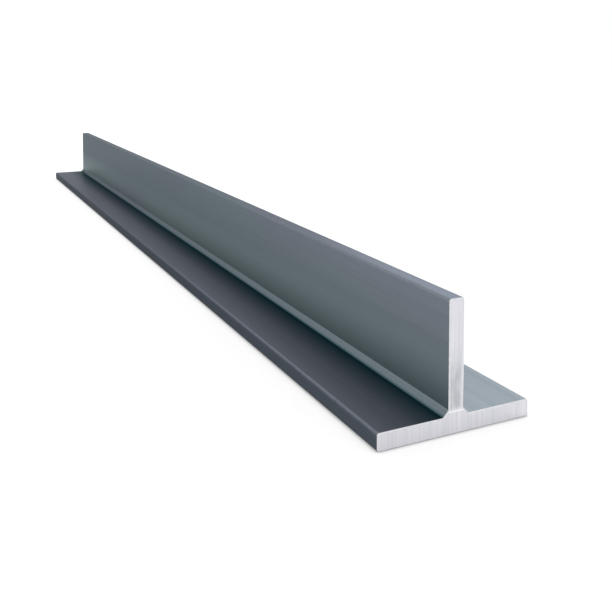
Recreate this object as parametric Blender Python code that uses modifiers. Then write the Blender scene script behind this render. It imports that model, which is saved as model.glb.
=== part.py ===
"""Steel tee bar, lying on its flange with the stem standing up.

The bar is one solid. Its section is drawn once, as a flat outline with an arc at each corner, and
is extruded to the bar's length. Both ends are sawn square, and their rims are lightly deburred.

X runs along the bar, Y across the flange and Z up. The origin is the middle of the underside.
"""

from math import ceil, cos, pi, radians, sin, tan

import bmesh
import bpy
from mathutils import Matrix, Vector

MM = 0.001

# The section and the length
FLANGE_WIDTH = 60.0 * MM
OVERALL_HEIGHT = 45.0 * MM
FLANGE_THICKNESS = 6.0 * MM
STEM_THICKNESS = 6.0 * MM
BAR_LENGTH = 630.0 * MM

# The roots: a 45 degree flat between stem and flange, soft at its top and crisp at its foot
ROOT_LEG = 2.1 * MM
ROOT_TOP_RADIUS = 1.2 * MM
ROOT_FOOT_RADIUS = 0.4 * MM

# The bar's long outer edges, and the rim of each sawn end
EDGE_RADIUS = 0.8 * MM
DEBURR_LEG = 0.4 * MM

# How finely an arc is drawn, and the most of a side that the arc at its end may take
ARC_STEP = radians(15)
LONGEST_REACH_SHARE = 0.45

# An edge that turns more than RIM_ANGLE is the rim of a sawn end, one that turns more than
# SHARP_ANGLE is drawn sharp, and faces that turn less than FLAT_ANGLE are one face
RIM_ANGLE = radians(60)
SHARP_ANGLE = radians(30)
FLAT_ANGLE = radians(1)
WELD_DISTANCE = 0.01 * MM

MILL_SCALE_COLOUR = 0x68727A
SAWN_STEEL_COLOUR = 0xDAD9DF


def half_section():
    """Corners of the section's right half, from the underside up to the stem's top.

    Each is (across, up, radius), and a side of the outline joins it to the next.
    """
    flange_edge = FLANGE_WIDTH / 2
    stem_face = STEM_THICKNESS / 2
    return [
        (flange_edge, 0.0, EDGE_RADIUS),
        (flange_edge, FLANGE_THICKNESS, EDGE_RADIUS),
        (stem_face + ROOT_LEG, FLANGE_THICKNESS, ROOT_FOOT_RADIUS),
        (stem_face, FLANGE_THICKNESS + ROOT_LEG, ROOT_TOP_RADIUS),
        (stem_face, OVERALL_HEIGHT, EDGE_RADIUS),
    ]


def whole_section():
    """Corners of the whole section, anticlockwise: the right half, then its mirror image."""
    right = half_section()
    left = [(-across, up, radius) for across, up, radius in reversed(right)]
    return right + left


def corner_arc(before, corner, after, radius):
    """Points of the arc that rounds a corner, touching the sides to its two neighbours.

    The radius is kept where the sides are long enough for it, and is limited by them elsewhere.
    """
    to_before = (before - corner).normalized()
    to_after = (after - corner).normalized()
    half_angle = to_before.angle(to_after) / 2
    shorter_side = min((before - corner).length, (after - corner).length)
    reach = min(radius / tan(half_angle), LONGEST_REACH_SHARE * shorter_side)
    start = corner + to_before * reach
    middle = (to_before + to_after).normalized()
    centre = corner + middle * reach / cos(half_angle)
    turn = pi - 2 * half_angle
    if to_before.cross(to_after) > 0:
        turn = -turn
    steps = ceil(abs(turn) / ARC_STEP)
    spoke = start - centre
    return [centre + Matrix.Rotation(turn * step / steps, 2) @ spoke for step in range(steps + 1)]


def rounded_outline(corners):
    """Points of a closed outline whose corners are rounded, each by its own radius."""
    places = [Vector((across, up)) for across, up, _ in corners]
    outline = []
    for index, (_, _, radius) in enumerate(corners):
        before = places[index - 1]
        after = places[(index + 1) % len(places)]
        outline += corner_arc(before, places[index], after, radius)
    return outline


def metal(name, colour, metallic, roughness):
    """A Principled material in an sRGB colour written as 0xRRGGBB."""
    channels = [((colour >> shift) & 0xFF) / 255 for shift in (16, 8, 0)]
    linear = [c / 12.92 if c <= 0.04045 else ((c + 0.055) / 1.055) ** 2.4 for c in channels]
    material = bpy.data.materials.new(name)
    material.use_nodes = True
    shader = material.node_tree.nodes["Principled BSDF"]
    shader.inputs["Base Color"].default_value = (*linear, 1.0)
    shader.inputs["Metallic"].default_value = metallic
    shader.inputs["Roughness"].default_value = roughness
    material.diffuse_color = (*linear, 1.0)
    return material


def extruded_mesh(name, outline, length):
    """A closed mesh: the outline, filled, and extruded by half the length to each side."""
    curve = bpy.data.curves.new(name, "CURVE")
    curve.dimensions = "2D"
    curve.fill_mode = "BOTH"
    curve.extrude = length / 2
    spline = curve.splines.new("POLY")
    spline.points.add(len(outline) - 1)
    spline.use_cyclic_u = True
    for point, place in zip(spline.points, outline):
        point.co = (*place, 0.0, 1.0)

    drawn = bpy.data.objects.new(name + "_outline", curve)
    bpy.context.scene.collection.objects.link(drawn)
    graph = bpy.context.evaluated_depsgraph_get()
    mesh = bpy.data.meshes.new_from_object(drawn.evaluated_get(graph))
    bpy.data.objects.remove(drawn)
    bpy.data.curves.remove(curve)

    shape = bmesh.new()
    shape.from_mesh(mesh)
    bmesh.ops.remove_doubles(shape, verts=shape.verts, dist=WELD_DISTANCE)
    bmesh.ops.dissolve_limit(shape, angle_limit=FLAT_ANGLE, verts=shape.verts, edges=shape.edges)
    bmesh.ops.recalc_face_normals(shape, faces=shape.faces)
    shape.to_mesh(mesh)
    shape.free()
    mesh.name = name
    return mesh


def sawn_faces(mesh):
    """The mesh's two end faces, which look along the extrusion."""
    return [face for face in mesh.polygons if abs(face.normal.z) > sin(RIM_ANGLE)]


def deburr(bar, leg, material_index):
    """Chamfers the rims of the sawn ends, and keeps the long faces shaded flat."""
    chamfer = bar.modifiers.new("Deburred rims", "BEVEL")
    chamfer.offset_type = "OFFSET"
    chamfer.width = leg
    chamfer.segments = 1
    chamfer.limit_method = "ANGLE"
    chamfer.angle_limit = RIM_ANGLE
    chamfer.material = material_index
    shading = bar.modifiers.new("Flat long faces", "WEIGHTED_NORMAL")
    shading.keep_sharp = True


def build_tee_bar(collection):
    """The whole bar: mill scale on its long faces, and bright metal where it is sawn."""
    mesh = extruded_mesh("tee_bar", rounded_outline(whole_section()), BAR_LENGTH)
    mesh.materials.clear()
    mesh.materials.append(metal("mill_scale", MILL_SCALE_COLOUR, metallic=0.3, roughness=0.5))
    mesh.materials.append(metal("sawn_steel", SAWN_STEEL_COLOUR, metallic=0.9, roughness=0.4))
    sawn_index = len(mesh.materials) - 1
    for face in sawn_faces(mesh):
        face.material_index = sawn_index
    mesh.shade_smooth()
    mesh.set_sharp_from_angle(angle=SHARP_ANGLE)

    bar = bpy.data.objects.new("tee_bar", mesh)
    bar.rotation_euler = (pi / 2, 0.0, pi / 2)
    collection.objects.link(bar)
    deburr(bar, DEBURR_LEG, sawn_index)
    return bar


def main():
    for leftover in list(bpy.data.objects):
        bpy.data.objects.remove(leftover)
    collection = bpy.data.collections.new("steel_tee_bar")
    bpy.context.scene.collection.children.link(collection)
    build_tee_bar(collection)


if __name__ == "__main__":
    main()
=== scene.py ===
"""Steel tee bar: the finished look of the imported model, on a white studio floor.

One piece stands for the CAD node tee_bar. It has the node's section and length, with finer arcs,
filed rims, the relief that a bandsaw leaves on both ends, and the slight unevenness of a rolled
surface. X runs along the bar, Y across the flange and Z up, as in the frame.
"""

import logging
from dataclasses import dataclass, field
from enum import Enum
from math import ceil, cos, pi, radians, sin, tan
from typing import Any, NamedTuple

import bmesh
import bpy
from mathutils import Matrix, Vector, noise


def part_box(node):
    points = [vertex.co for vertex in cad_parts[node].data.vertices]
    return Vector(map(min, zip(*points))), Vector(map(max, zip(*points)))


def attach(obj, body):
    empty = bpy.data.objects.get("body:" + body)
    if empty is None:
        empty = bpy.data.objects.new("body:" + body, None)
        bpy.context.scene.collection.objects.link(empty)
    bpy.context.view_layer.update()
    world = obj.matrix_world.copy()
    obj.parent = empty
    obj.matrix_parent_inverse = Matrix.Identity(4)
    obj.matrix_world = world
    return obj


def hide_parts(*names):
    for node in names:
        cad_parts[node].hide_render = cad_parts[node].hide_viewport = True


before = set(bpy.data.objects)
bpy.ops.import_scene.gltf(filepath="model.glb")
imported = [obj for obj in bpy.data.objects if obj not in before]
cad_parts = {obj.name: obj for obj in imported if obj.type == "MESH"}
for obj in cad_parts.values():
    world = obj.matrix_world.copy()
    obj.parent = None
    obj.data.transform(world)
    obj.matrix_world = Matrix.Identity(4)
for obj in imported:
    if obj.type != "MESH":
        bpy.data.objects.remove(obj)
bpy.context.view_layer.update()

MM = 0.001
CAD_NODE = "tee_bar"
CAD_BODY = "root"
EDGE_WEAR = "edge_wear"
WHITE = 0xFFFFFF

log = logging.getLogger("tee_bar")


def linear(colour: int) -> tuple[float, float, float, float]:
    """Turns an sRGB colour into the linear one that a shader takes.

    Args:
        colour: the colour as 0xRRGGBB.

    Returns:
        Red, green, blue and an alpha of 1.
    """
    channels = [((colour >> shift) & 0xFF) / 255 for shift in (16, 8, 0)]
    red, green, blue = [
        c / 12.92 if c <= 0.04045 else ((c + 0.055) / 1.055) ** 2.4 for c in channels
    ]
    return red, green, blue, 1.0


def as_share(wave: float) -> float:
    """Turns a wave between -1 and 1 into a share between 0 and 1."""
    return 0.5 + 0.5 * wave


def blank_material(name: str) -> bpy.types.Material:
    """Adds a material that has no nodes yet.

    Args:
        name: the material's name.

    Returns:
        The material.
    """
    material = bpy.data.materials.new(name)
    material.use_nodes = True
    material.node_tree.nodes.clear()
    return material


def add_node(
    tree: bpy.types.NodeTree,
    kind: str,
    options: dict[str, Any],
    inputs: dict[str | int, Any],
) -> bpy.types.Node:
    """Adds a node with its settings and its links.

    Args:
        tree: the node tree that gets the node.
        kind: Blender's name for the kind of node.
        options: the node's own options, by name.
        inputs: what each input socket holds: a value, or the output socket that feeds it.

    Returns:
        The new node.
    """
    node = tree.nodes.new(kind)
    for name, value in options.items():
        setattr(node, name, value)
    for socket, value in inputs.items():
        if isinstance(value, bpy.types.NodeSocket):
            tree.links.new(value, node.inputs[socket])
        else:
            node.inputs[socket].default_value = value
    return node


class MixInput(int, Enum):
    """Places of a Mix node's inputs, whose names repeat for each kind of data."""

    FLOAT_A = 2
    FLOAT_B = 3
    COLOUR_A = 6
    COLOUR_B = 7


class MixResult(int, Enum):
    """Places of a Mix node's outputs, which all have the same name."""

    FLOAT = 0
    COLOUR = 2


def add_change(
    tree: bpy.types.NodeTree,
    along: bpy.types.NodeSocket,
    reach: tuple[float, float],
    before: Any,
    after: Any,
) -> bpy.types.NodeSocket:
    """Adds a change from one colour to another along a measure.

    Args:
        tree: the node tree that gets the nodes.
        along: the measure.
        reach: its values at which the change starts and ends.
        before: the colour up to the start, or the socket that holds it.
        after: the colour past the end, or the socket that holds it.

    Returns:
        The colour.
    """
    share = add_node(tree, "ShaderNodeMapRange", {}, {
        "Value": along,
        "From Min": reach[0],
        "From Max": reach[1],
    })
    colour = add_node(tree, "ShaderNodeMix", {"data_type": "RGBA"}, {
        "Factor": share.outputs["Result"],
        MixInput.COLOUR_A: before,
        MixInput.COLOUR_B: after,
    })
    return colour.outputs[MixResult.COLOUR]


def add_stretched_noise(
    tree: bpy.types.NodeTree,
    place: bpy.types.NodeSocket,
    sizes: tuple[float, float, float],
    detail: float,
) -> bpy.types.NodeSocket:
    """Adds noise whose features have a size of their own along each axis.

    Args:
        tree: the node tree that gets the nodes.
        place: the place on the bar.
        sizes: how large the features are along the bar, across it and up it.
        detail: how many times finer features are added to them.

    Returns:
        The noise, from 0 to 1.
    """
    stretched = add_node(tree, "ShaderNodeMapping", {}, {
        "Vector": place,
        "Scale": tuple(1 / size for size in sizes),
    })
    noise_here = add_node(tree, "ShaderNodeTexNoise", {}, {
        "Vector": stretched.outputs["Vector"],
        "Scale": 1.0,
        "Detail": detail,
    })
    return noise_here.outputs["Fac"]


class Face(int, Enum):
    """How each part of the bar's surface was made, in the order of its material slots."""

    ROLLED = 0
    SAWN = 1
    FILED = 2


class OutlinePoint(NamedTuple):
    """A point of the section's outline.

    place is (across, up), outward is where the surface faces there, and from_edge is the distance
    over the surface to the nearest outer edge of the bar.
    """

    place: Vector
    outward: Vector
    from_edge: float


class Corner(NamedTuple):
    """A corner of the section, with the radius that rounds it. An outer one gets rubbed."""

    place: Vector
    radius: float
    outer: bool


def graded_steps(length: float, first: float, growth: float, longest: float) -> list[float]:
    """Places along a length, close together at both ends and wider apart between them.

    Args:
        length: the length to divide.
        first: the first step from either end.
        growth: how many times longer each step is than the one before it.
        longest: the longest step.

    Returns:
        The places, from 0 to the length, both included.
    """
    from_end = [0.0]
    step = first
    while step < longest and from_end[-1] + step < length / 2 - first / 2:
        from_end.append(from_end[-1] + step)
        step *= growth
    middle = length - 2 * from_end[-1]
    count = max(1, ceil(middle / longest))
    between = [from_end[-1] + middle * number / count for number in range(1, count)]
    return from_end + between + [length - reached for reached in reversed(from_end)]


@dataclass(frozen=True)
class TeeSection:
    """The bar's section: a flange, and a stem on its middle, with a root on either side."""

    flange_width: float
    height: float
    flange_thickness: float = 6.0 * MM
    stem_thickness: float = 6.0 * MM
    root_leg: float = 2.1 * MM
    root_top_radius: float = 1.2 * MM
    root_foot_radius: float = 0.4 * MM
    edge_radius: float = 0.8 * MM

    arc_step: float = radians(9)
    first_step: float = 0.6 * MM
    step_growth: float = 1.7
    longest_step: float = 4.0 * MM
    longest_reach_share: float = 0.45

    def corners(self) -> list[Corner]:
        """The section's corners, anticlockwise as seen from +X, from the flange's lower right.

        Returns:
            The corners of the right half, then those of its mirror image.
        """
        edge = self.flange_width / 2
        face = self.stem_thickness / 2
        top = self.flange_thickness
        right = [
            Corner(Vector((edge, 0.0)), self.edge_radius, True),
            Corner(Vector((edge, top)), self.edge_radius, True),
            Corner(Vector((face + self.root_leg, top)), self.root_foot_radius, False),
            Corner(Vector((face, top + self.root_leg)), self.root_top_radius, False),
            Corner(Vector((face, self.height)), self.edge_radius, True),
        ]
        left = [
            Corner(Vector((-corner.place.x, corner.place.y)), corner.radius, corner.outer)
            for corner in reversed(right)
        ]
        return right + left

    def arc(self, before: Vector, corner: Corner, after: Vector) -> list[OutlinePoint]:
        """The arc that rounds a corner.

        Args:
            before: the place of the corner before it.
            corner: the corner.
            after: the place of the corner after it.

        Returns:
            Points from where the arc leaves one side to where it meets the next.
        """
        to_before = (before - corner.place).normalized()
        to_after = (after - corner.place).normalized()
        half_angle = to_before.angle(to_after) / 2
        shorter_side = min((before - corner.place).length, (after - corner.place).length)
        reach = min(corner.radius / tan(half_angle), self.longest_reach_share * shorter_side)
        middle = (to_before + to_after).normalized()
        centre = corner.place + middle * reach / cos(half_angle)
        hollow = to_before.cross(to_after) > 0
        turn = (2 * half_angle - pi) if hollow else (pi - 2 * half_angle)
        spoke = corner.place + to_before * reach - centre
        from_edge = 0.0 if corner.outer else self.flange_width
        count = ceil(abs(turn) / self.arc_step)
        points = []
        for number in range(count + 1):
            turned = Matrix.Rotation(turn * number / count, 2) @ spoke
            outward = -turned.normalized() if hollow else turned.normalized()
            points.append(OutlinePoint(centre + turned, outward, from_edge))
        return points

    def flat(self, start: OutlinePoint, end: OutlinePoint) -> list[OutlinePoint]:
        """The points inside a flat side.

        Args:
            start: the last point of the arc before it.
            end: the first point of the arc after it.

        Returns:
            Points between the two, close together near them.
        """
        side = end.place - start.place
        outward = Vector((side.y, -side.x)).normalized()
        steps = graded_steps(side.length, self.first_step, self.step_growth, self.longest_step)
        points = []
        for reached in steps[1:-1]:
            from_edge = min(start.from_edge + reached, end.from_edge + side.length - reached)
            place = start.place + side * (reached / side.length)
            points.append(OutlinePoint(place, outward, from_edge))
        return points

    def outline(self) -> list[OutlinePoint]:
        """The whole outline, anticlockwise as seen from +X.

        Returns:
            Its points, arcs and flats in turn.
        """
        corners = self.corners()
        arcs = [
            self.arc(corners[number - 1].place, corner, corners[(number + 1) % len(corners)].place)
            for number, corner in enumerate(corners)
        ]
        points = []
        for number, arc in enumerate(arcs):
            following = arcs[(number + 1) % len(arcs)]
            points += arc + self.flat(arc[-1], following[0])
        return points


@dataclass(frozen=True)
class MillScaleSteel:
    """Hot-rolled mild steel, with the mill scale that the rolls left on it.

    The scale is a thin, hard skin of blue-grey oxide, pressed smooth by the rolls. To the eye it is
    a satin metal in dark slate. It mirrors the room only as a blur, and keeps its depth of colour
    at a low angle, where bare metal would turn white. Painted shade darkens the flange's sides and
    the left ledge beside its root, and painted light makes it a shade paler low on the stem and on
    the right ledge. The hue drifts between green and violet over the width of a hand, and faint
    streaks run the way the bar was rolled.
    """

    name: str = "rolled_mill_scale"
    # Painted light: the stem is painted paler low down, just above its roots.
    painted_light_stem_foot_tone: int = 0x97A4A9
    high_stem_tone: int = 0x788188
    stem_top_tone: int = 0x727A82
    root_tone: int = 0x717A81
    ledge_tone: int = 0x767882
    # Painted shade: the left ledge is painted dark beside the stem's root.
    painted_shade_left_ledge_tone: int = 0x28484F
    # Painted light: the right ledge is painted a shade paler than the left one.
    painted_light_right_ledge_tone: int = 0x7A7F86
    # Painted shade: the flange's sides and the outer part of their edges are painted darker.
    painted_shade_side_tone: int = 0x5A5F68
    green_tint: int = 0xFBFFFD
    violet_tint: int = 0xFFFAFE
    grime_tint: int = 0xDADCDD
    rubbed_tone: int = 0x868E93
    low_angle_tone: int = 0xA4A4A4
    roughness: tuple[float, float] = (0.41, 0.44)
    rubbed_roughness: float = 0.36

    # Where two tones meet, they run into each other over one of these lengths.
    stem_blend: float = 20 * MM
    ledge_blend: float = 13 * MM
    root_blend: float = 0.8 * MM
    edge_blend: float = 0.9 * MM

    mottle_length: float = 120 * MM
    mottle_width: float = 30 * MM
    streak_length: float = 220 * MM
    # Streaks are a few tenths of a millimetre wide. They are drawn wider, so that they show.
    streak_width: float = 1.3 * MM
    streak_depth: float = 0.001 * MM
    # Grains of scale are about 0.05 mm. They are drawn ten times as coarse, so that they show.
    grain_size: float = 0.5 * MM
    grain_depth: float = 0.003 * MM
    rub_size: float = 3.0 * MM

    # Each effect comes in between two levels of its noise, up to its strength.
    streak_levels: tuple[float, float] = (0.3, 0.7)
    hue_levels: tuple[float, float] = (0.22, 0.42)
    streak_grime_levels: tuple[float, float] = (0.45, 0.8)
    streak_grime: float = 0.25
    grain_grime_levels: tuple[float, float] = (0.5, 0.8)
    grain_grime: float = 0.5
    rub_levels: tuple[float, float] = (0.25, 0.6)
    rub_strength: float = 0.15

    def material(self, section: TeeSection) -> bpy.types.Material:
        """Builds the finish.

        Args:
            section: the bar's section, on whose parts the tone depends.

        Returns:
            The new material.
        """
        made = blank_material(self.name)
        tree = made.node_tree
        place = add_node(tree, "ShaderNodeTexCoord", {}, {}).outputs["Object"]
        streak_sizes = (self.streak_length, self.streak_width, self.streak_width)
        streaks = add_stretched_noise(tree, place, streak_sizes, detail=2.0)
        grain = add_node(tree, "ShaderNodeTexNoise", {}, {
            "Vector": place,
            "Scale": 1 / self.grain_size,
            "Detail": 2.0,
        }).outputs["Fac"]
        rubbed = self.rubbing(tree, place)

        clean = self.hue(tree, place, self.tone(tree, place, section))
        colour = add_node(tree, "ShaderNodeMix", {"data_type": "RGBA"}, {
            "Factor": rubbed,
            MixInput.COLOUR_A: self.grime(tree, clean, streaks, grain),
            MixInput.COLOUR_B: linear(self.rubbed_tone),
        })
        smooth, rough = self.roughness
        streaked = add_node(tree, "ShaderNodeMapRange", {}, {
            "Value": streaks,
            "From Min": self.streak_levels[0],
            "From Max": self.streak_levels[1],
            "To Min": smooth,
            "To Max": rough,
        })
        roughness = add_node(tree, "ShaderNodeMix", {"data_type": "FLOAT"}, {
            "Factor": rubbed,
            MixInput.FLOAT_A: streaked.outputs["Result"],
            MixInput.FLOAT_B: self.rubbed_roughness,
        })
        streak_relief = add_node(tree, "ShaderNodeBump", {}, {
            "Height": streaks,
            "Distance": self.streak_depth,
        })
        relief = add_node(tree, "ShaderNodeBump", {}, {
            "Height": grain,
            "Distance": self.grain_depth,
            "Normal": streak_relief.outputs["Normal"],
        })
        shader = add_node(tree, "ShaderNodeBsdfPrincipled", {}, {
            "Base Color": colour.outputs[MixResult.COLOUR],
            "Metallic": 1.0,
            "Roughness": roughness.outputs[MixResult.FLOAT],
            "Specular Tint": linear(self.low_angle_tone),
            "Normal": relief.outputs["Normal"],
        })
        add_node(tree, "ShaderNodeOutputMaterial", {}, {"Surface": shader.outputs["BSDF"]})
        return made

    def tone(
        self,
        tree: bpy.types.NodeTree,
        place: bpy.types.NodeSocket,
        section: TeeSection,
    ) -> bpy.types.NodeSocket:
        """Adds the tones of the stem, the roots, the flange and its sides, with painted light and
        shade.

        Args:
            tree: the finish's node tree.
            place: the place on the bar.
            section: the bar's section.

        Returns:
            The colour.
        """
        axes = add_node(tree, "ShaderNodeSeparateXYZ", {}, {"Vector": place})
        up = axes.outputs["Z"]
        across = axes.outputs["Y"]
        from_middle = add_node(tree, "ShaderNodeMath", {"operation": "ABSOLUTE"}, {
            0: across,
        }).outputs["Value"]
        ledge_tone = linear(self.ledge_tone)
        root_top = section.flange_thickness + section.root_leg
        root_edge = section.stem_thickness / 2 + section.root_leg
        flange_edge = section.flange_width / 2

        # Painted light: paler at the stem's foot, fading to the upper tone over stem_blend.
        stem = add_change(
            tree, up, (root_top, root_top + self.stem_blend),
            linear(self.painted_light_stem_foot_tone), linear(self.high_stem_tone),
        )
        stem_and_top = add_change(
            tree, up, (section.height - self.edge_blend, section.height),
            stem, linear(self.stem_top_tone),
        )
        upright = add_change(
            tree, up, (root_top, root_top + self.root_blend), linear(self.root_tone), stem_and_top
        )
        # Painted shade: the left ledge darkens towards the stem's root.
        left_ledge_with_painted_shade = add_change(
            tree, across, (-root_edge - self.ledge_blend, -root_edge),
            ledge_tone, linear(self.painted_shade_left_ledge_tone),
        )
        # Painted light: the right ledge gets its own paler tone.
        ledges = add_change(
            tree, across, (0.0, root_edge), left_ledge_with_painted_shade, linear(self.painted_light_right_ledge_tone)
        )
        upper = add_change(
            tree, from_middle, (root_edge - self.root_blend, root_edge), upright, ledges
        )
        whole = add_change(tree, up, (0.0, self.edge_blend), ledge_tone, upper)
        # Painted shade: darker down the flange's sides, which also dims the highlight along their
        # edges.
        return add_change(
            tree, from_middle, (flange_edge - self.edge_blend, flange_edge),
            whole, linear(self.painted_shade_side_tone),
        )

    def hue(
        self,
        tree: bpy.types.NodeTree,
        place: bpy.types.NodeSocket,
        tone: bpy.types.NodeSocket,
    ) -> bpy.types.NodeSocket:
        """Adds the drift between green and violet.

        Args:
            tree: the finish's node tree.
            place: the place on the bar.
            tone: the colour before it.

        Returns:
            The colour with it.
        """
        mottle_sizes = (self.mottle_length, self.mottle_width, self.mottle_width)
        drift = add_node(tree, "ShaderNodeMapRange", {"interpolation_type": "SMOOTHSTEP"}, {
            "Value": add_stretched_noise(tree, place, mottle_sizes, detail=0.0),
            "From Min": self.hue_levels[0],
            "From Max": self.hue_levels[1],
        })
        tint = add_node(tree, "ShaderNodeMix", {"data_type": "RGBA"}, {
            "Factor": drift.outputs["Result"],
            MixInput.COLOUR_A: linear(self.violet_tint),
            MixInput.COLOUR_B: linear(self.green_tint),
        })
        tinted = add_node(tree, "ShaderNodeMix", {"data_type": "RGBA", "blend_type": "MULTIPLY"}, {
            "Factor": 1.0,
            MixInput.COLOUR_A: tone,
            MixInput.COLOUR_B: tint.outputs[MixResult.COLOUR],
        })
        return tinted.outputs[MixResult.COLOUR]

    def grime(
        self,
        tree: bpy.types.NodeTree,
        clean: bpy.types.NodeSocket,
        streaks: bpy.types.NodeSocket,
        grain: bpy.types.NodeSocket,
    ) -> bpy.types.NodeSocket:
        """Adds the darker streaks and grains.

        Args:
            tree: the finish's node tree.
            clean: the colour before them.
            streaks: the noise of the streaks.
            grain: the noise of the grains.

        Returns:
            The colour with them.
        """
        streaked = add_node(tree, "ShaderNodeMapRange", {}, {
            "Value": streaks,
            "From Min": self.streak_grime_levels[0],
            "From Max": self.streak_grime_levels[1],
            "To Max": self.streak_grime,
        })
        grained = add_node(tree, "ShaderNodeMapRange", {}, {
            "Value": grain,
            "From Min": self.grain_grime_levels[0],
            "From Max": self.grain_grime_levels[1],
            "To Max": self.grain_grime,
        })
        both = add_node(tree, "ShaderNodeMath", {"operation": "ADD"}, {
            0: streaked.outputs["Result"],
            1: grained.outputs["Result"],
        })
        grimy = add_node(tree, "ShaderNodeMix", {"data_type": "RGBA", "blend_type": "MULTIPLY"}, {
            "Factor": both.outputs["Value"],
            MixInput.COLOUR_A: clean,
            MixInput.COLOUR_B: linear(self.grime_tint),
        })
        return grimy.outputs[MixResult.COLOUR]

    def rubbing(
        self, tree: bpy.types.NodeTree, place: bpy.types.NodeSocket
    ) -> bpy.types.NodeSocket:
        """Adds the patches where the bar's outer edges were rubbed in handling.

        Args:
            tree: the finish's node tree.
            place: the place on the bar.

        Returns:
            How far the scale is rubbed off, from 0 to rub_strength.
        """
        worn = add_node(tree, "ShaderNodeAttribute", {"attribute_name": EDGE_WEAR}, {})
        patches = add_node(tree, "ShaderNodeTexNoise", {}, {
            "Vector": place,
            "Scale": 1 / self.rub_size,
            "Detail": 3.0,
        })
        worn_here = add_node(tree, "ShaderNodeMath", {"operation": "MULTIPLY"}, {
            0: worn.outputs["Fac"],
            1: patches.outputs["Fac"],
        })
        rubbed = add_node(tree, "ShaderNodeMapRange", {"interpolation_type": "SMOOTHSTEP"}, {
            "Value": worn_here.outputs["Value"],
            "From Min": self.rub_levels[0],
            "From Max": self.rub_levels[1],
            "To Max": self.rub_strength,
        })
        return rubbed.outputs["Result"]


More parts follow.
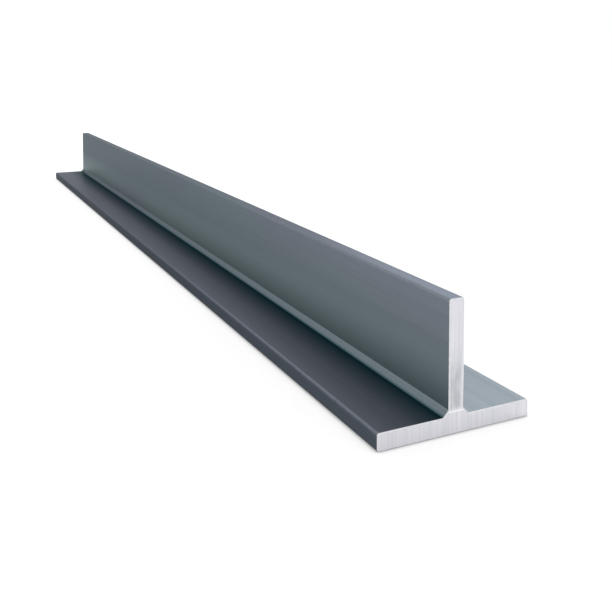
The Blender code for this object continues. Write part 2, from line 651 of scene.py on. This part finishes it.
@dataclass(frozen=True)
class SawnSteel:
    """Bare mild steel, cut across by a bandsaw.

    The blade leaves fine upright lines, each a tooth's path. To the eye the end is a pale, slightly
    violet grey, far brighter than the scale, with a soft sheen that is streaked from top to bottom.
    Low on the stem the end is darker, rougher and cloudy, and a bright line runs across it just
    above the flange.
    """

    name: str = "sawn_steel"
    bright_tone: int = 0xE2E1E7
    dim_tone: int = 0xD4D5DA
    dull_tone: int = 0xBEC0C5
    foot_line_tone: int = 0xF4F4F8
    roughness: tuple[float, float] = (0.38, 0.44)
    dull_roughness: float = 0.55

    # Teeth leave lines 0.2 to 0.5 mm apart. The broad ones are drawn wider, so that they show.
    broad_line: float = 1.1 * MM
    fine_line: float = 0.45 * MM
    fine_share: float = 0.4
    line_length: float = 30 * MM
    line_depth: float = 0.006 * MM
    line_levels: tuple[float, float] = (0.35, 0.65)

    # The dull patch: where it starts and ends going up, its middle and its half width.
    dull_from: tuple[float, float] = (7.9 * MM, 9.3 * MM)
    dull_to: tuple[float, float] = (17 * MM, 31 * MM)
    dull_middle: float = -0.5 * MM
    dull_half_width: tuple[float, float] = (1.6 * MM, 2.7 * MM)
    cloud_width: float = 2.2 * MM
    cloud_height: float = 7.0 * MM
    cloud_levels: tuple[float, float] = (0.35, 0.6)
    dullness_between_clouds: float = 0.55

    # The bright line between stem and flange.
    foot_line_height: float = 7.6 * MM
    foot_line_half_height: float = 0.5 * MM

    def material(self) -> bpy.types.Material:
        """Builds the finish.

        Returns:
            The new material.
        """
        made = blank_material(self.name)
        tree = made.node_tree
        place = add_node(tree, "ShaderNodeTexCoord", {}, {}).outputs["Object"]

        broad_sizes = (self.line_length, self.broad_line, self.line_length)
        fine_sizes = (self.line_length, self.fine_line, self.line_length)
        lines = add_node(tree, "ShaderNodeMix", {"data_type": "FLOAT"}, {
            "Factor": self.fine_share,
            MixInput.FLOAT_A: add_stretched_noise(tree, place, broad_sizes, detail=2.0),
            MixInput.FLOAT_B: add_stretched_noise(tree, place, fine_sizes, detail=1.0),
        }).outputs[MixResult.FLOAT]
        cut = add_change(
            tree, lines, self.line_levels, linear(self.dim_tone), linear(self.bright_tone)
        )
        dulled = self.dulling(tree, place)
        dull_cut = add_node(tree, "ShaderNodeMix", {"data_type": "RGBA"}, {
            "Factor": dulled,
            MixInput.COLOUR_A: cut,
            MixInput.COLOUR_B: linear(self.dull_tone),
        })
        colour = add_node(tree, "ShaderNodeMix", {"data_type": "RGBA"}, {
            "Factor": self.step(tree, place),
            MixInput.COLOUR_A: dull_cut.outputs[MixResult.COLOUR],
            MixInput.COLOUR_B: linear(self.foot_line_tone),
        })
        smooth, rough = self.roughness
        cut_roughness = add_node(tree, "ShaderNodeMapRange", {}, {
            "Value": lines,
            "From Min": self.line_levels[0],
            "From Max": self.line_levels[1],
            "To Min": rough,
            "To Max": smooth,
        })
        roughness = add_node(tree, "ShaderNodeMix", {"data_type": "FLOAT"}, {
            "Factor": dulled,
            MixInput.FLOAT_A: cut_roughness.outputs["Result"],
            MixInput.FLOAT_B: self.dull_roughness,
        })
        relief = add_node(tree, "ShaderNodeBump", {}, {
            "Height": lines,
            "Distance": self.line_depth,
        })
        shader = add_node(tree, "ShaderNodeBsdfPrincipled", {}, {
            "Base Color": colour.outputs[MixResult.COLOUR],
            "Metallic": 1.0,
            "Roughness": roughness.outputs[MixResult.FLOAT],
            "Normal": relief.outputs["Normal"],
        })
        add_node(tree, "ShaderNodeOutputMaterial", {}, {"Surface": shader.outputs["BSDF"]})
        return made

    def dulling(
        self, tree: bpy.types.NodeTree, place: bpy.types.NodeSocket
    ) -> bpy.types.NodeSocket:
        """Adds the cloudy patch low on the stem.

        Args:
            tree: the finish's node tree.
            place: the place on the bar.

        Returns:
            How dull the metal is, from 0 to 1.
        """
        axes = add_node(tree, "ShaderNodeSeparateXYZ", {}, {"Vector": place})
        side = add_node(tree, "ShaderNodeMath", {"operation": "SUBTRACT"}, {
            0: axes.outputs["Y"],
            1: self.dull_middle,
        })
        from_middle = add_node(tree, "ShaderNodeMath", {"operation": "ABSOLUTE"}, {
            0: side.outputs["Value"],
        })
        cloud_sizes = (self.cloud_height, self.cloud_width, self.cloud_height)
        clouds = add_node(tree, "ShaderNodeMapRange", {}, {
            "Value": add_stretched_noise(tree, place, cloud_sizes, detail=2.0),
            "From Min": self.cloud_levels[0],
            "From Max": self.cloud_levels[1],
            "To Min": self.dullness_between_clouds,
        })
        fades = (
            (axes.outputs["Z"], self.dull_from, 0.0, 1.0),
            (axes.outputs["Z"], self.dull_to, 1.0, 0.0),
            (from_middle.outputs["Value"], self.dull_half_width, 1.0, 0.0),
        )
        dulled = clouds.outputs["Result"]
        for measure, (start, end), before, after in fades:
            fade = add_node(tree, "ShaderNodeMapRange", {"interpolation_type": "SMOOTHSTEP"}, {
                "Value": measure,
                "From Min": start,
                "From Max": end,
                "To Min": before,
                "To Max": after,
            })
            dulled = add_node(tree, "ShaderNodeMath", {"operation": "MULTIPLY"}, {
                0: dulled,
                1: fade.outputs["Result"],
            }).outputs["Value"]
        return dulled

    def step(self, tree: bpy.types.NodeTree, place: bpy.types.NodeSocket) -> bpy.types.NodeSocket:
        """Adds the bright line across the end, just above the flange.

        Args:
            tree: the finish's node tree.
            place: the place on the bar.

        Returns:
            How bright the line is, from 0 to 1.
        """
        axes = add_node(tree, "ShaderNodeSeparateXYZ", {}, {"Vector": place})
        height = add_node(tree, "ShaderNodeMath", {"operation": "SUBTRACT"}, {
            0: axes.outputs["Z"],
            1: self.foot_line_height,
        })
        away = add_node(tree, "ShaderNodeMath", {"operation": "ABSOLUTE"}, {
            0: height.outputs["Value"],
        })
        line = add_node(tree, "ShaderNodeMapRange", {"interpolation_type": "SMOOTHSTEP"}, {
            "Value": away.outputs["Value"],
            "From Max": self.foot_line_half_height,
            "To Min": 1.0,
            "To Max": 0.0,
        })
        return line.outputs["Result"]


@dataclass(frozen=True)
class FiledSteel:
    """Bare mild steel at the rims of the ends, where a file took off the saw's burr.

    The strokes run along the rim. To the eye it is a thin bright line round each end, a little
    uneven, as strokes of a hand file are.
    """

    name: str = "filed_steel"
    bright_tone: int = 0xE3E3E7
    dim_tone: int = 0xD2D3D8
    roughness: float = 0.42
    stroke_size: float = 1.1 * MM
    stroke_depth: float = 0.003 * MM
    stroke_levels: tuple[float, float] = (0.3, 0.6)

    def material(self) -> bpy.types.Material:
        """Builds the finish.

        Returns:
            The new material.
        """
        made = blank_material(self.name)
        tree = made.node_tree
        place = add_node(tree, "ShaderNodeTexCoord", {}, {}).outputs["Object"]
        strokes = add_node(tree, "ShaderNodeTexNoise", {}, {
            "Vector": place,
            "Scale": 1 / self.stroke_size,
            "Detail": 3.0,
        }).outputs["Fac"]
        colour = add_change(
            tree, strokes, self.stroke_levels, linear(self.dim_tone), linear(self.bright_tone)
        )
        relief = add_node(tree, "ShaderNodeBump", {}, {
            "Height": strokes,
            "Distance": self.stroke_depth,
        })
        shader = add_node(tree, "ShaderNodeBsdfPrincipled", {}, {
            "Base Color": colour,
            "Metallic": 1.0,
            "Roughness": self.roughness,
            "Normal": relief.outputs["Normal"],
        })
        add_node(tree, "ShaderNodeOutputMaterial", {}, {"Surface": shader.outputs["BSDF"]})
        return made


@dataclass(frozen=True)
class SawCut:
    """The face that a bandsaw leaves, as depths below a true plane."""

    column_width: float = 0.3 * MM
    row_height: float = 3.0 * MM
    line_spacing: float = 0.9 * MM
    line_depth: float = 0.006 * MM
    wander_width: float = 9.0 * MM
    wander_height: float = 40.0 * MM
    wander_depth: float = 0.04 * MM
    cut_tolerance: float = 0.001 * MM

    def depth(self, place: Vector) -> float:
        """How far the cut lies below its plane.

        Args:
            place: a point of the cut, in the frame.

        Returns:
            The depth, from 0 to line_depth + wander_depth.
        """
        lines = noise.noise(
            Vector((place.x / MM, place.y / self.line_spacing, place.z / self.wander_height))
        )
        wander = noise.noise(
            Vector((place.x / MM, place.y / self.wander_width, place.z / self.wander_height))
        )
        return self.line_depth * as_share(lines) + self.wander_depth * as_share(wander)

    def divide(
        self, shape: bmesh.types.BMesh, face: bmesh.types.BMFace, section: TeeSection
    ) -> None:
        """Cuts an end face into upright columns, and those into rows.

        Args:
            shape: the mesh that holds the face.
            face: the flat end face.
            section: the bar's section, which gives the reach of the cuts.
        """
        columns = int(section.flange_width / 2 / self.column_width)
        rows = int(section.height / self.row_height)
        across = Vector((0.0, 1.0, 0.0))
        up = Vector((0.0, 0.0, 1.0))
        planes = [
            (across * number * self.column_width, across)
            for number in range(-columns, columns + 1)
        ]
        planes += [(up * number * self.row_height, up) for number in range(1, rows + 1)]
        pieces = [face, *face.edges, *face.verts]
        for point, normal in planes:
            cut = bmesh.ops.bisect_plane(
                shape, geom=pieces, dist=self.cut_tolerance, plane_co=point, plane_no=normal
            )
            pieces = cut["geom"]


@dataclass(frozen=True)
class TeeBar:
    """The whole bar, rolled as one piece, sawn to length and filed at its rims."""

    length: float
    section: TeeSection
    saw_cut: SawCut = field(default_factory=SawCut)
    rim_leg: float = 0.4 * MM

    first_station: float = 1.0 * MM
    station_growth: float = 1.6
    station_spacing: float = 6.0 * MM
    unevenness: float = 0.03 * MM
    unevenness_length: float = 55.0 * MM
    unevenness_width: float = 16.0 * MM
    wear_reach: float = 1.4 * MM
    sharp_angle: float = radians(30)

    rolled: MillScaleSteel = field(default_factory=MillScaleSteel)
    sawn: SawnSteel = field(default_factory=SawnSteel)
    filed: FiledSteel = field(default_factory=FiledSteel)

    @classmethod
    def from_frame(cls) -> "TeeBar":
        """Takes the bar's overall sizes from its CAD node.

        Returns:
            A bar as long, wide and high as the node.
        """
        low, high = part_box(CAD_NODE)
        size = high - low
        return cls(length=size.x, section=TeeSection(flange_width=size.y, height=size.z))

    def place(self, point: OutlinePoint, station: float, inset: float) -> Vector:
        """Where a point of the outline lies on the bar.

        Args:
            point: the point of the outline.
            station: how far along the bar it is.
            inset: how far it is drawn in from the outline.

        Returns:
            Its place, with the unevenness of the rolled surface.
        """
        there = Vector((station, *(point.place - point.outward * inset)))
        wave = noise.noise(
            Vector((
                there.x / self.unevenness_length,
                there.y / self.unevenness_width,
                there.z / self.unevenness_width,
            ))
        )
        sunk = self.unevenness * as_share(wave)
        return there - Vector((0.0, *point.outward)) * sunk

    def mesh(self) -> bpy.types.Mesh:
        """Builds the bar's closed mesh.

        Returns:
            The mesh, with each face's material index set to its kind of surface.
        """
        outline = self.section.outline()
        end = self.length / 2
        rim = end - self.rim_leg
        stations = [
            reached - rim
            for reached in graded_steps(
                2 * rim, self.first_station, self.station_growth, self.station_spacing
            )
        ]
        rings = [(-end, self.rim_leg), *[(station, 0.0) for station in stations]]
        rings.append((end, self.rim_leg))

        shape = bmesh.new()
        wear = shape.verts.layers.float.new(EDGE_WEAR)
        corners = []
        for station, inset in rings:
            ring = []
            for point in outline:
                corner = shape.verts.new(self.place(point, station, inset))
                from_edge = min(point.from_edge, max(0.0, rim - abs(station)))
                corner[wear] = max(0.0, 1.0 - from_edge / self.wear_reach)
                ring.append(corner)
            corners.append(ring)
        for number in range(len(corners) - 1):
            made = Face.FILED if number in (0, len(corners) - 2) else Face.ROLLED
            for here, following in zip(range(-1, len(outline) - 1), range(len(outline))):
                face = shape.faces.new((
                    corners[number][here],
                    corners[number][following],
                    corners[number + 1][following],
                    corners[number + 1][here],
                ))
                face.material_index = made
        for ring in (corners[0], corners[-1]):
            cap = shape.faces.new(ring)
            cap.material_index = Face.SAWN
            self.saw_cut.divide(shape, cap, self.section)
        for vertex in shape.verts:
            if any(face.material_index == Face.SAWN for face in vertex.link_faces):
                inward = -1 if vertex.co.x > 0 else 1
                vertex.co.x += inward * self.saw_cut.depth(vertex.co)
        bmesh.ops.recalc_face_normals(shape, faces=shape.faces)

        mesh = bpy.data.meshes.new("steel_tee_bar")
        shape.to_mesh(mesh)
        shape.free()
        mesh.shade_smooth()
        mesh.set_sharp_from_angle(angle=self.sharp_angle)
        return mesh

    def build(self) -> bpy.types.Object:
        """Builds the bar, dresses it and puts it in the CAD node's place.

        Returns:
            The finished piece.
        """
        mesh = self.mesh()
        mesh.materials.append(self.rolled.material(self.section))
        mesh.materials.append(self.sawn.material())
        mesh.materials.append(self.filed.material())
        bar = bpy.data.objects.new("steel_tee_bar", mesh)
        bpy.context.scene.collection.objects.link(bar)
        shading = bar.modifiers.new("Flat long faces", "WEIGHTED_NORMAL")
        shading.keep_sharp = True
        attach(bar, CAD_BODY)
        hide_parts(CAD_NODE)
        return bar


@dataclass(frozen=True)
class Softbox:
    """A rectangular soft lamp that faces the bar's middle."""

    name: str
    azimuth: float
    elevation: float
    distance: float
    width: float
    height: float
    brightness: float

    def build(self) -> bpy.types.Object:
        """Builds the lamp.

        Returns:
            The lamp, unseen by the camera. A brightness of 1 is that of the white background.
        """
        lamp = bpy.data.lights.new(self.name, "AREA")
        lamp.shape = "RECTANGLE"
        lamp.size = self.width
        lamp.size_y = self.height
        lamp.energy = self.brightness * pi * self.width * self.height
        placed = bpy.data.objects.new(self.name, lamp)
        placed.visible_camera = False
        away = Vector((
            cos(self.azimuth) * cos(self.elevation),
            sin(self.azimuth) * cos(self.elevation),
            sin(self.elevation),
        ))
        placed.location = away * self.distance
        placed.rotation_euler = (-away).to_track_quat("-Z", "Y").to_euler()
        bpy.context.scene.collection.objects.link(placed)
        return placed


class Sight(NamedTuple):
    """What looks at the background: sockets that are 1 for the camera, or for metal and glass."""

    camera: bpy.types.NodeSocket
    mirrors: bpy.types.NodeSocket

    @classmethod
    def of(cls, tree: bpy.types.NodeTree) -> "Sight":
        """Adds the nodes that tell them apart.

        Args:
            tree: the node tree of the floor or the world.

        Returns:
            The two sockets.
        """
        ray = add_node(tree, "ShaderNodeLightPath", {}, {})
        mirrors = add_node(tree, "ShaderNodeMath", {"operation": "MAXIMUM"}, {
            0: ray.outputs["Is Glossy Ray"],
            1: ray.outputs["Is Transmission Ray"],
        })
        return cls(ray.outputs["Is Camera Ray"], mirrors.outputs["Value"])


@dataclass(frozen=True)
class WhiteBoard:
    """Painted white board. To the eye it is plain white, and keeps a faint shadow of the bar.

    Metal and glass show it with the whole of that shadow, and the camera with a small share of it.
    Both see it lifted to white by a glow that lights nothing. For the camera the glow grows away
    from the bar, where the lamps reach less, and fails in the last millimetre beside it, which
    leaves the thin dark line of contact.
    """

    name: str = "white_board"
    paint: int = 0xE7E7E7
    glow_in_mirrors: float = 0.25
    paint_on_camera: int = 0xB3B3B3
    glow_on_camera: tuple[float, float] = (0.637, 1.0)
    glow_distance: tuple[float, float] = (0.5, 1.8)
    contact_reach: float = 1.5 * MM
    contact_samples: int = 6

    def material(self) -> bpy.types.Material:
        """Builds the finish.

        Returns:
            The new material.
        """
        made = blank_material(self.name)
        made.cycles.emission_sampling = "NONE"
        tree = made.node_tree
        sight = Sight.of(tree)
        paint = add_node(tree, "ShaderNodeMix", {"data_type": "RGBA"}, {
            "Factor": sight.camera,
            MixInput.COLOUR_A: linear(self.paint),
            MixInput.COLOUR_B: linear(self.paint_on_camera),
        })
        board = add_node(tree, "ShaderNodeBsdfDiffuse", {}, {
            "Color": paint.outputs[MixResult.COLOUR],
        })
        glow_in_mirrors = add_node(tree, "ShaderNodeMath", {"operation": "MULTIPLY"}, {
            0: sight.mirrors,
            1: self.glow_in_mirrors,
        })
        place = add_node(tree, "ShaderNodeTexCoord", {}, {}).outputs["Object"]
        distance = add_node(tree, "ShaderNodeVectorMath", {"operation": "LENGTH"}, {0: place})
        near, far = self.glow_distance
        near_glow, far_glow = self.glow_on_camera
        open_glow = add_node(tree, "ShaderNodeMapRange", {"interpolation_type": "SMOOTHSTEP"}, {
            "Value": distance.outputs["Value"],
            "From Min": near,
            "From Max": far,
            "To Min": near_glow,
            "To Max": far_glow,
        })
        contact_options = {"samples": self.contact_samples}
        contact = add_node(tree, "ShaderNodeAmbientOcclusion", contact_options, {
            "Distance": self.contact_reach,
        })
        glow_on_camera = add_node(tree, "ShaderNodeMath", {"operation": "MULTIPLY"}, {
            0: open_glow.outputs["Result"],
            1: contact.outputs["AO"],
        })
        glow_strength = add_node(tree, "ShaderNodeMath", {"operation": "MULTIPLY_ADD"}, {
            0: sight.camera,
            1: glow_on_camera.outputs["Value"],
            2: glow_in_mirrors.outputs["Value"],
        })
        glow = add_node(tree, "ShaderNodeEmission", {}, {
            "Strength": glow_strength.outputs["Value"],
        })
        lifted = add_node(tree, "ShaderNodeAddShader", {}, {
            0: board.outputs["BSDF"],
            1: glow.outputs["Emission"],
        })
        add_node(tree, "ShaderNodeOutputMaterial", {}, {"Surface": lifted.outputs["Shader"]})
        return made


@dataclass(frozen=True)
class Studio:
    """A white room: a floor, an even surround and soft lamps."""

    floor_width: float = 8.0
    floor_gap: float = 0.05 * MM
    surround: float = 0.87
    background: float = 1.0
    board: WhiteBoard = field(default_factory=WhiteBoard)
    lamps: tuple[Softbox, ...] = (
        Softbox(
            "back_right_softbox", azimuth=radians(124), elevation=radians(25),
            distance=1.7, width=1.4, height=0.9, brightness=3.35,
        ),
        Softbox(
            "far_softbox", azimuth=radians(172), elevation=radians(34),
            distance=1.8, width=1.2, height=0.8, brightness=1.1,
        ),
        Softbox(
            "left_softbox", azimuth=radians(237), elevation=radians(12),
            distance=1.8, width=2.0, height=0.8, brightness=0.55,
        ),
    )

    def build_floor(self) -> bpy.types.Object:
        """Lays the floor just under the bar.

        Returns:
            The floor.
        """
        shape = bmesh.new()
        bmesh.ops.create_grid(shape, x_segments=1, y_segments=1, size=self.floor_width / 2)
        mesh = bpy.data.meshes.new("floor")
        shape.to_mesh(mesh)
        shape.free()
        mesh.materials.append(self.board.material())
        floor = bpy.data.objects.new("floor", mesh)
        floor.location.z = -self.floor_gap
        bpy.context.scene.collection.objects.link(floor)
        return floor

    def build_surround(self) -> bpy.types.World:
        """Builds the even surround.

        Returns:
            The world, white where it is seen and plainer as light on the object.
        """
        world = bpy.data.worlds.new("surround")
        world.cycles.sampling_method = "NONE"
        world.use_nodes = True
        tree = world.node_tree
        tree.nodes.clear()
        light = add_node(tree, "ShaderNodeBackground", {}, {
            "Color": linear(WHITE),
            "Strength": self.surround,
        })
        white = add_node(tree, "ShaderNodeBackground", {}, {
            "Color": linear(WHITE),
            "Strength": self.background,
        })
        sight = Sight.of(tree)
        seen = add_node(tree, "ShaderNodeMath", {"operation": "MAXIMUM"}, {
            0: sight.camera,
            1: sight.mirrors,
        })
        both = add_node(tree, "ShaderNodeMixShader", {}, {
            "Fac": seen.outputs["Value"],
            1: light.outputs["Background"],
            2: white.outputs["Background"],
        })
        add_node(tree, "ShaderNodeOutputWorld", {}, {"Surface": both.outputs["Shader"]})
        bpy.context.scene.world = world
        return world

    def build(self) -> None:
        """Builds the floor, the surround and the lamps, and reports each."""
        log.info("floor: %s", self.build_floor().name)
        log.info("world: %s", self.build_surround().name)
        for lamp in self.lamps:
            log.info("lamp: %s", lamp.build().name)


@dataclass(frozen=True)
class PhotoCamera:
    """The photograph's camera, as fitted to the bar's edges in it.

    It stands beyond the near end, to the left of the stem, and looks slightly down. Its frame is
    shifted down, which keeps the stem's end upright in the picture.
    """

    beyond_near_end: float = 213.164 * MM
    left_of_stem: float = 157.745 * MM
    height: float = 123.691 * MM
    turn: float = radians(25.791)
    tilt: float = radians(3.128)
    sensor_millimetres: float = 36.0
    frame_pixels: int = 612
    focal_pixels: float = 814.55
    horizon_shift_pixels: float = -206.0
    nearest: float = 0.01

    def build(self, bar: TeeBar) -> bpy.types.Object:
        """Builds the camera and makes it the scene's own.

        Args:
            bar: the bar that it looks at.

        Returns:
            The camera.
        """
        lens = bpy.data.cameras.new("photo_camera")
        lens.sensor_width = self.sensor_millimetres
        lens.lens = self.focal_pixels / self.frame_pixels * self.sensor_millimetres
        lens.shift_y = self.horizon_shift_pixels / self.frame_pixels
        lens.clip_start = self.nearest
        camera = bpy.data.objects.new("photo_camera", lens)
        camera.location = (bar.length / 2 + self.beyond_near_end, -self.left_of_stem, self.height)
        forward = Vector((
            -cos(self.turn) * cos(self.tilt),
            sin(self.turn) * cos(self.tilt),
            -sin(self.tilt),
        ))
        camera.rotation_euler = forward.to_track_quat("-Z", "Y").to_euler()
        bpy.context.scene.collection.objects.link(camera)
        bpy.context.scene.camera = camera
        return camera


def main() -> None:
    """Builds the bar, the studio and the camera, and reports each."""
    logging.basicConfig(level=logging.INFO, format="%(name)s: %(message)s")
    bar = TeeBar.from_frame()
    piece = bar.build()
    log.info("bar: %s, %d faces", piece.name, len(piece.data.polygons))
    Studio().build()
    camera = PhotoCamera().build(bar)
    log.info("camera: %s", camera.name)
    bpy.context.scene.view_settings.view_transform = "Standard"


if __name__ == "__main__":
    main()
